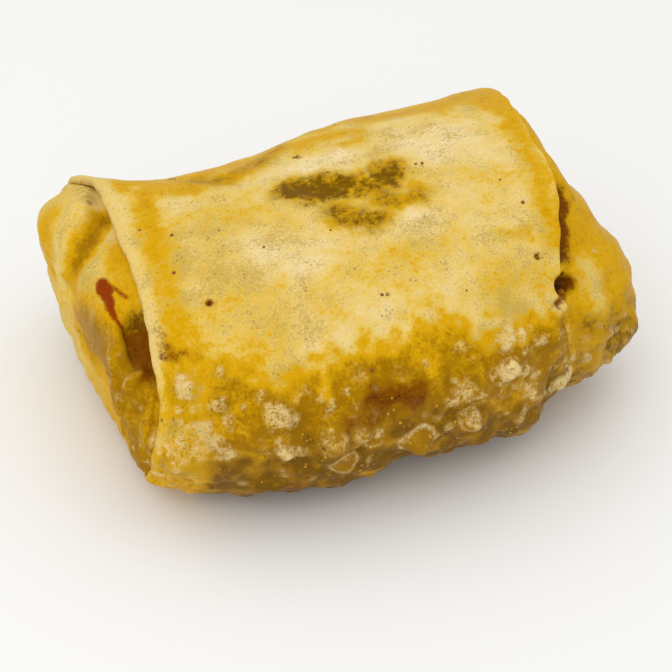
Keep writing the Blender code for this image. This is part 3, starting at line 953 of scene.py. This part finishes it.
# The layers of colour, from the dough up: clear dough, flour, bubbles, oil, toast, carrot and pores. The oil
# and toast layers also lay down painted shade.
color = over((*AMBER, 1), (*GOLD, 1), flour.step(-0.85, 0.1))
color = over(color, (*HONEY, 1), flour.step(0.1, 0.6))
color = over(color, (*FLOUR, 1), flour.step(0.4, 1.0))
color = over(color, (*CLOUDED, 1), flour.step(0.85, 1.5))
stippled = (finest * 1.3 + fine * 1.2 + middling * 0.7 + coarse * 1.5 + cloud * 1.2).step(-0.15, 0.45) * 0.75
color = over(color, (*STIPPLE, 1), stippled * flour.step(0.1, 0.7))
color = over(color, (*PALE, 1), pale)
specks = (finest * 1.6 + fine * 1.2 + coarse * 0.8).step(0.10, 0.40)
color = over(color, (*AMBER, 1), specks * paled.step(0.0, 0.4) * 0.85)
color = over(color, (*OIL_AND_SHADE, 1), soaked_and_shaded.step(-0.05, 1.15))
color = over(color, (*TOAST_AND_SHADE, 1), toasted_and_shaded.step(0.1, 1.0))
color = over(color, (*BURNT, 1), toasted_and_shaded.step(1.0, 1.5))
color = over(color, (*CARROT, 1), carrot)
color = over(color, (*PORE, 1), pore * 0.6)
Wire.tree.links.new(color.socket, shader.inputs["Base Color"])

flour = flour.step(0.0, 1.0)
roughness = 0.40 + flour * 0.25 + middling * 0.2
Wire.tree.links.new(roughness.socket, shader.inputs["Roughness"])
height = fine * 0.5 + middling * 0.8 - pore * 0.12
bumps = Wire.node("ShaderNodeBump", {}, {"Strength": 0.6, "Distance": 0.00015, "Height": height}, "Normal")
Wire.tree.links.new(bumps.socket, shader.inputs["Normal"])
coat = (share("wet") + coarse * 1.2).step(0.3, 1.0) * 0.14
Wire.tree.links.new(coat.socket, shader.inputs["Coat Weight"])
shader.inputs["Coat Roughness"].default_value = 0.22
shader.inputs["Specular IOR Level"].default_value = 0.05
shader.inputs["Specular Tint"].default_value = (1.0, 0.82, 0.35, 1)
shader.inputs["Subsurface Weight"].default_value = 0.12
shader.inputs["Subsurface Radius"].default_value = (1.0, 0.45, 0.12)
shader.inputs["Subsurface Scale"].default_value = 0.0012
shader.inputs["IOR"].default_value = 1.45


# The three skins of the roll: the sleeve is a closed tube with a wall, and each end fold is a closed cap
# that goes on down behind its rim, so the grooves and slots are real gaps.


def closed_mesh(name, rows, shares, capped):
    """A mesh object from rows of points: capped by a point at each end, or joined end to end."""
    count, columns = rows.shape[:2]
    column = np.arange(columns)
    beside = np.roll(column, -1)
    pairs = list(zip(column.tolist(), beside.tolist()))
    if capped:
        points = np.concatenate([rows[0, :1], rows[1:-1].reshape(-1, 3), rows[-1, :1]])
        values = {n: np.concatenate([v[0, :1], v[1:-1].ravel(), v[-1, :1]]) for n, v in shares.items()}
        starts = 1 + columns * np.arange(count - 3)
        nexts = starts + columns
        last = 1 + columns * (count - 3)
        fans = [(0, 1 + b, 1 + a) for a, b in pairs]
        fans += [(last + a, last + b, len(points) - 1) for a, b in pairs]
    else:
        points = rows.reshape(-1, 3)
        values = {n: v.ravel() for n, v in shares.items()}
        starts = columns * np.arange(count)
        nexts = np.roll(starts, -1)
        fans = []
    near, far = starts[:, None], nexts[:, None]
    quads = np.stack([near + column, near + beside, far + beside, far + column], -1).reshape(-1, 4)
    mesh = bpy.data.meshes.new(name)
    mesh.from_pydata((points * MM).tolist(), [], quads.tolist() + fans)
    mesh.shade_smooth()
    for mark, value in values.items():
        layer = mesh.attributes.new(mark, "FLOAT", "POINT")
        layer.data.foreach_set("value", np.clip(value, -1, 2).astype(np.float32))
    mesh.materials.append(skin_finish)
    made = bpy.data.objects.new(name, mesh)
    bpy.context.scene.collection.objects.link(made)
    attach(made, "root")
    return made


def hidden_rings(end, steps_in):
    """Rings that carry an end fold on behind its rim and close it inside the roll."""
    rings = []
    for deeper, extra in steps_in:
        x = rim(end, angle) - end.side * (end.depth(angle) + deeper)
        rings.append(section(x, angle, end.lip(angle) + end.gap(angle) + extra) + TO_CENTRE)
    middle = rings[-1].mean(axis=0)
    rings.append(np.broadcast_to(middle, rings[-1].shape))
    return np.array(rings)


def with_hidden(rows, hidden, first):
    """The rows' points and shares with the hidden rings put before or after them."""
    points = np.concatenate([hidden, fried[rows]] if first else [fried[rows], hidden])
    still = np.zeros(hidden.shape[:2])
    shares = {n: np.concatenate([still, v[rows]] if first else [v[rows], still]) for n, v in marks.items()}
    return points, shares


# Steps of an end fold's hidden edge: how far behind its groove, and how far inside the skin.
INWARDS = ((1.6, 1.6), (3.0, 4.0), (3.5, 9.0))
# The sleeve's inner face: how many rings it has, how far behind each groove it starts, and its wall.
INNER_RINGS = 8
BEHIND_GROOVE = 5.0
WALL = 4.0

left_rows, right_rows = zone == "left fold", zone == "right fold"
closed_mesh("left_end_fold", *with_hidden(left_rows, hidden_rings(LEFT, INWARDS), False), True)
behind = hidden_rings(RIGHT, INWARDS)[::-1]
closed_mesh("right_end_fold", *with_hidden(right_rows, behind, True), True)

tube_rows = ~(left_rows | right_rows)
inner = []
for part_way in np.linspace(1, 0, INNER_RINGS):
    left_x = rim(LEFT, angle) + LEFT.depth(angle) + BEHIND_GROOVE
    right_x = rim(RIGHT, angle) - RIGHT.depth(angle) - BEHIND_GROOVE
    inner.append(section(left_x + (right_x - left_x) * part_way, angle, WALL) + TO_CENTRE)
sleeve = closed_mesh("wrapper_sleeve", *with_hidden(tube_rows, np.array(inner), False), False)
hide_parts("egg_roll")


# Beads and crumbs: steam blew hundreds of tiny beads of dough low on the front, and a few burnt crumbs from
# the oil stuck to the skin. Geometry Nodes scatter both over the sleeve, by the shares that its mesh holds.

BEAD_SEED = 4
CRUMB_SEED = 9


def scatter_tree(name, shape, mark, seed):
    """A node tree that scatters one sunken, uneven shape over a mesh, by a share that the mesh holds."""
    tree = bpy.data.node_groups.new(name, "GeometryNodeTree")
    for label, kind in (("Skin", "Geometry"), ("Per square metre", "Float"), ("Smallest", "Float"),
                        ("Largest", "Float"), ("Flatness", "Float"), ("Finish", "Material")):
        tree.interface.new_socket(label, in_out="INPUT", socket_type="NodeSocket" + kind)
    tree.interface.new_socket("Scattered", in_out="OUTPUT", socket_type="NodeSocketGeometry")

    def node(kind, settings, sockets):
        made = tree.nodes.new(kind)
        for key, value in settings.items():
            setattr(made, key, value)
        for key, value in sockets.items():
            if isinstance(value, bpy.types.NodeSocket):
                tree.links.new(value, made.inputs[key])
            else:
                made.inputs[key].default_value = value
        return made.outputs

    given = node("NodeGroupInput", {}, {})
    held = node("GeometryNodeInputNamedAttribute", {"data_type": "FLOAT"}, {"Name": mark})
    crowding = node("ShaderNodeMath", {"operation": "MULTIPLY"}, {0: held[0], 1: given["Per square metre"]})
    where = node("GeometryNodeDistributePointsOnFaces", {},
                 {"Mesh": given["Skin"], "Density": crowding[0], "Seed": seed})
    lumps = node("ShaderNodeTexNoise", {}, {"Scale": 1.3})
    pushed = node("ShaderNodeVectorMath", {"operation": "SUBTRACT"}, {0: lumps["Color"], 1: (0.5, 0.5, 0.5)})
    uneven = node("GeometryNodeSetPosition", {}, {"Geometry": node(*shape)[0], "Offset": pushed[0]})
    size = node("FunctionNodeRandomValue", {"data_type": "FLOAT"},
                {2: given["Smallest"], 3: given["Largest"], "Seed": seed + 1})
    tall = node("ShaderNodeMath", {"operation": "MULTIPLY"}, {0: size[1], 1: given["Flatness"]})
    scale = node("ShaderNodeCombineXYZ", {}, {"X": size[1], "Y": size[1], "Z": tall[0]})
    twist = node("FunctionNodeRandomValue", {"data_type": "FLOAT"}, {2: 0.0, 3: 2 * np.pi, "Seed": seed + 2})
    about = node("ShaderNodeCombineXYZ", {}, {"Z": twist[1]})
    turned = node("FunctionNodeEulerToRotation", {}, {0: about[0]})
    facing = node("FunctionNodeRotateRotation", {"rotation_space": "LOCAL"},
                  {0: where["Rotation"], 1: turned[0]})
    placed = node("GeometryNodeInstanceOnPoints", {}, {
        "Points": where["Points"],
        "Instance": uneven[0],
        "Rotation": facing[0],
        "Scale": scale[0],
    })
    real = node("GeometryNodeRealizeInstances", {}, {0: placed[0]})
    smooth = node("GeometryNodeSetShadeSmooth", {}, {0: real[0]})
    finished = node("GeometryNodeSetMaterial", {}, {"Geometry": smooth[0], "Material": given["Finish"]})
    node("NodeGroupOutput", {}, {0: finished[0]})
    return tree


def scattered(name, tree, skin_mesh, settings):
    """A piece made of what the tree scatters over the mesh."""
    bearer = bpy.data.objects.new(name + "_bearer", skin_mesh)
    bpy.context.scene.collection.objects.link(bearer)
    modifier = bearer.modifiers.new("scatter", "NODES")
    modifier.node_group = tree
    for socket in tree.interface.items_tree:
        if socket.name in settings:
            modifier[socket.identifier] = settings[socket.name]
    evaluated = bearer.evaluated_get(bpy.context.evaluated_depsgraph_get())
    mesh = bpy.data.meshes.new_from_object(evaluated)
    bearer.modifiers.remove(modifier)
    bpy.data.objects.remove(bearer)
    made = bpy.data.objects.new(name, mesh)
    bpy.context.scene.collection.objects.link(made)
    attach(made, "root")
    return made


bead_finish, bead_shader, place = new_finish("bead_skin")
patchy = grain(place, 700.0).step(0.4, 0.6)
bead_color = over((*AMBER, 1), (*GOLD, 1), patchy)
Wire.tree.links.new(bead_color.socket, bead_shader.inputs["Base Color"])
bead_shader.inputs["Roughness"].default_value = 0.35
bead_shader.inputs["Specular Tint"].default_value = (1.0, 0.9, 0.6, 1)
bead_shader.inputs["Subsurface Weight"].default_value = 0.25
bead_shader.inputs["Subsurface Radius"].default_value = (1.0, 0.5, 0.15)
bead_shader.inputs["Subsurface Scale"].default_value = 0.0008

crumb_finish, crumb_shader, place = new_finish("burnt_crumb")
crumb_color = over((*TOAST_AND_SHADE, 1), (*STIPPLE, 1), grain(place, 900.0).step(0.45, 0.6))
Wire.tree.links.new(crumb_color.socket, crumb_shader.inputs["Base Color"])
crumb_shader.inputs["Roughness"].default_value = 0.7

bead_shape = ("GeometryNodeMeshUVSphere", {}, {"Segments": 9, "Rings": 6, "Radius": 1.0})
scattered("skin_beads", scatter_tree("scatter_beads", bead_shape, "beads", BEAD_SEED), sleeve.data, {
    "Per square metre": 3.2e5,
    "Smallest": 0.11 * MM,
    "Largest": 0.30 * MM,
    "Flatness": 0.35,
    "Finish": bead_finish,
})
crumb_shape = ("GeometryNodeMeshIcoSphere", {}, {"Subdivisions": 1, "Radius": 1.0})
scattered("skin_crumbs", scatter_tree("scatter_crumbs", crumb_shape, "crumbs", CRUMB_SEED), sleeve.data, {
    "Per square metre": 5.0e6,
    "Smallest": 0.12 * MM,
    "Largest": 0.34 * MM,
    "Flatness": 0.6,
    "Finish": crumb_finish,
})
